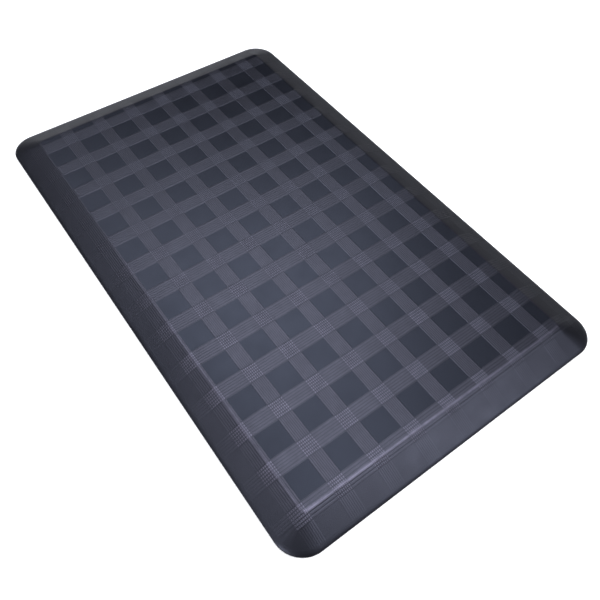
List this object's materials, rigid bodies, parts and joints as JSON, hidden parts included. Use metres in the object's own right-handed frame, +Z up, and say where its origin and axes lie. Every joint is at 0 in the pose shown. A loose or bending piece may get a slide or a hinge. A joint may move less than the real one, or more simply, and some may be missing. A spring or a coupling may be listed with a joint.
{
  "type": "anti fatigue mat",
  "caption": "Cushioned anti fatigue floor mat: bevelled foam pad in an embossed plaid wear skin, with a non-slip base sheet.",
  "frame": {"origin": "on the floor under the middle of the mat: centre of its footprint at the underside", "axes": "+X across the short side, +Y along the long side, +Z up from the floor to the standing surface"},
  "size_m": [0.508, 0.813, 0.02],
  "materials": {
    "embossed_skin": "satin embossed vinyl leather, charcoal with a blue violet cast",
    "knit_backing": "matte knit",
    "foam": "matte closed cell foam",
    "bond_film": "translucent hot melt film",
    "grip_base": "matte non-slip sheet"
  },
  "bodies": {
    "root": {"top_skin": "embossed_skin", "skin_scrim": "knit_backing", "foam_core": "foam", "base_adhesive": "bond_film", "base_sheet": "grip_base"}
  },
  "joints": []
}
